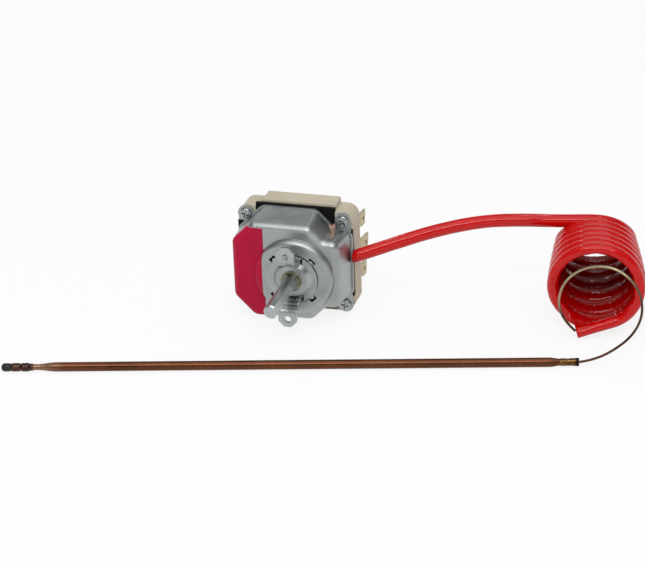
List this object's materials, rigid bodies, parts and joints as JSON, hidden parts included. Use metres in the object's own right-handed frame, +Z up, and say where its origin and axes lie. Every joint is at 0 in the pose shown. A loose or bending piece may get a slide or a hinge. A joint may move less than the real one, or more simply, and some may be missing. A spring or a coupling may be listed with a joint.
{
  "type": "capillary thermostat",
  "caption": "Capillary thermostat: pressed housing with tabs and flatted spindle, moulded switch base, sleeved coil of capillary and long copper bulb.",
  "frame": {"origin": "on the spindle axis, in the mounting plane, midway between the two tapped tab holes", "axes": "-Y along the spindle towards the knob, +Z up through the upper tab, +X towards the capillary's exit"},
  "size_m": [0.2521, 0.1349, 0.0483],
  "materials": {
    "zinc_steel": "zinc-plated pressed steel, satin",
    "red_film": "crimson self-adhesive film, bare",
    "bracket_steel": "zinc-plated steel, bright",
    "olive_brass": "yellow-chromated steel",
    "spindle_steel": "turned and plated steel",
    "ring_steel": "phosphated spring steel",
    "nut_brass": "turned brass",
    "pin_steel": "bright steel",
    "stainless": "stainless, matt",
    "copper_tube": "bare copper capillary, dulled",
    "black_insulator": "black laminated insulating board",
    "beige_moulding": "beige thermoset moulding",
    "cover_moulding": "beige thermoset moulding",
    "screw_steel": "zinc-plated screw",
    "white_ceramic": "steatite",
    "bridge_moulding": "thermoset moulding",
    "red_sleeve": "glossy red silicone sleeve",
    "dark_solder": "dark sealed tip",
    "brown_copper": "oxidised copper",
    "collar_brass": "crimped and brazed collar",
    "terminal_plating": "plated brass tab",
    "spring_bronze": "spring bronze with a silver contact"
  },
  "bodies": {
    "root": {"front_housing": "zinc_steel", "label_film": "red_film", "mounting_bracket": "bracket_steel", "spindle_bushing": "olive_brass", "guide_pins": "pin_steel", "capillary_inlet": "copper_tube", "insulating_plate": "black_insulator", "switch_base": "beige_moulding", "rear_cover": "cover_moulding", "housing_screws": "screw_steel", "fixed_terminal_1": "terminal_plating", "fixed_terminal_2": "terminal_plating", "fixed_terminal_3": "terminal_plating", "spring_terminal_1": "terminal_plating", "spring_terminal_2": "terminal_plating", "spring_terminal_3": "terminal_plating", "sleeve_lead": "red_sleeve", "sleeve_coil": "red_sleeve", "sleeve_tail": "red_sleeve", "capillary_loop": "copper_tube", "bulb_cap": "dark_solder", "bulb_body": "brown_copper", "bulb_collar": "collar_brass"},
    "spindle": {"spindle": "spindle_steel", "retaining_ring": "ring_steel"},
    "setting_carriage": {"setting_nut": "nut_brass", "diaphragm_capsule": "stainless"},
    "transfer": {"transfer_pin": "white_ceramic", "transfer_bridge": "bridge_moulding"},
    "contact_1": {"contact_spring_1": "spring_bronze"},
    "contact_2": {"contact_spring_2": "spring_bronze"},
    "contact_3": {"contact_spring_3": "spring_bronze"}
  },
  "joints": [
    {"name": "spindle_turn", "type": "hinge", "parent": "root", "child": "spindle", "pos_m": [0, 0, 0], "axis": [0, 1, 0], "range_deg": [0, 300]},
    {"name": "capsule_feed", "type": "slide", "parent": "root", "child": "setting_carriage", "axis": [0, -1, 0], "range_m": [0, 0.00125]},
    {"name": "pin_travel", "type": "slide", "parent": "root", "child": "transfer", "axis": [0, 1, 0], "range_m": [0, 0.0006], "stiffness_N_per_m": 200},
    {"name": "contact_open_1", "type": "hinge", "parent": "root", "child": "contact_1", "pos_m": [-0.02, 0.034, 0.015], "axis": [0, 0, 1], "range_deg": [0, 1.75]},
    {"name": "contact_open_2", "type": "hinge", "parent": "root", "child": "contact_2", "pos_m": [-0.02, 0.034, 0.0035], "axis": [0, 0, 1], "range_deg": [0, 1.75]},
    {"name": "contact_open_3", "type": "hinge", "parent": "root", "child": "contact_3", "pos_m": [-0.02, 0.034, -0.008], "axis": [0, 0, 1], "range_deg": [0, 1.75]}
  ],
  "couplings": [
    {"joint": "spindle_turn", "follows": "capsule_feed", "rad_per_m": 4188.7},
    {"joint": "contact_open_1", "follows": "pin_travel", "rad_per_m": 50},
    {"joint": "contact_open_2", "follows": "pin_travel", "rad_per_m": 50},
    {"joint": "contact_open_3", "follows": "pin_travel", "rad_per_m": 50}
  ]
}
